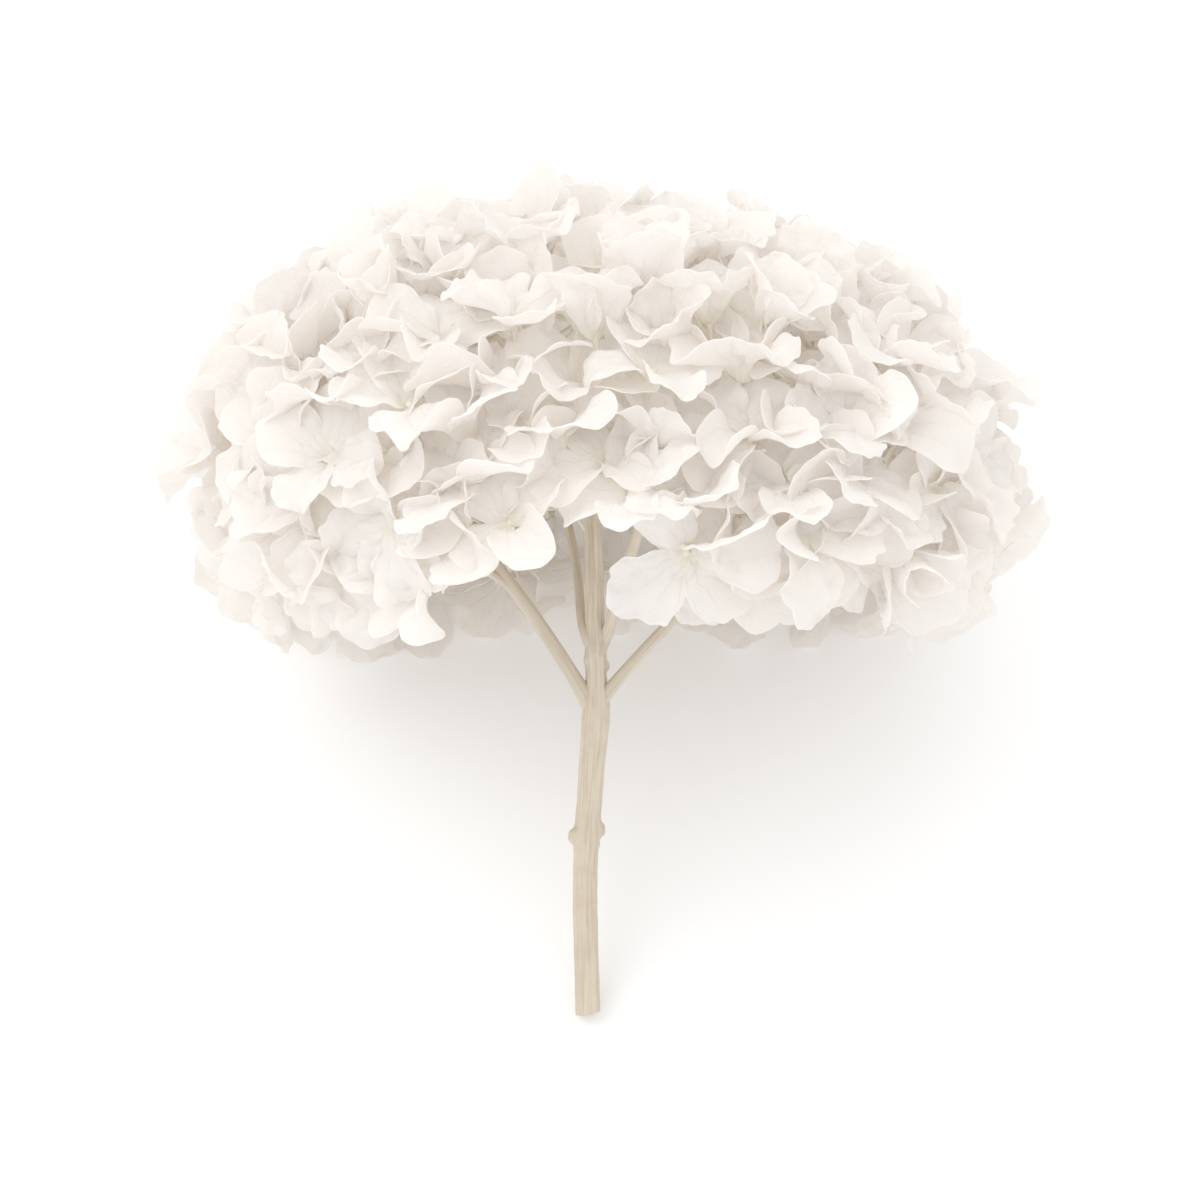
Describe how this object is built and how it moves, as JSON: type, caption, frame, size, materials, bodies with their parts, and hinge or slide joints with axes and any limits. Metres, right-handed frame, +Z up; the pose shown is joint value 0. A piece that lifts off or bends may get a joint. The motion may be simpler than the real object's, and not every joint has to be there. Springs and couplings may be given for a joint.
{
  "type": "cut hydrangea",
  "caption": "Round flower head of many papery four-sepalled florets on a forked, short woody stem, lying on a surface.",
  "frame": {"origin": "on the surface it lies on, under the centre of its bounding box", "axes": "+Z up from the surface, +Y along the stem from its cut end towards the head, +X across the head"},
  "size_m": [0.2124, 0.1986, 0.1602],
  "materials": {
    "sepal": "matte, faintly veined ivory",
    "stem": "matte, grooved beige bark",
    "branch": "matte, smooth pale beige"
  },
  "bodies": {
    "root": {"stem": "stem", "branch_left": "branch", "branch_right": "branch", "branch_front": "branch", "branch_back": "branch", "branch_upper_left": "branch", "branch_upper_right": "branch", "branch_top": "branch", "floret_01": "sepal", "floret_02": "sepal", "floret_03": "sepal", "floret_04": "sepal", "floret_05": "sepal", "floret_06": "sepal", "floret_07": "sepal", "floret_08": "sepal", "floret_09": "sepal", "floret_10": "sepal", "floret_11": "sepal", "floret_12": "sepal", "floret_13": "sepal", "floret_14": "sepal", "floret_15": "sepal", "floret_16": "sepal", "floret_17": "sepal", "floret_18": "sepal", "floret_19": "sepal", "floret_20": "sepal", "floret_21": "sepal", "floret_22": "sepal", "floret_23": "sepal", "floret_24": "sepal", "floret_25": "sepal", "floret_26": "sepal", "floret_27": "sepal", "floret_28": "sepal", "floret_29": "sepal", "floret_30": "sepal", "floret_31": "sepal", "floret_32": "sepal", "floret_33": "sepal", "floret_34": "sepal", "floret_35": "sepal", "floret_36": "sepal", "floret_37": "sepal", "floret_38": "sepal", "floret_39": "sepal", "floret_40": "sepal", "floret_41": "sepal", "floret_42": "sepal", "floret_43": "sepal", "floret_44": "sepal", "floret_45": "sepal", "floret_46": "sepal", "floret_47": "sepal", "floret_48": "sepal", "floret_49": "sepal", "floret_50": "sepal", "floret_51": "sepal", "floret_52": "sepal"}
  },
  "joints": []
}
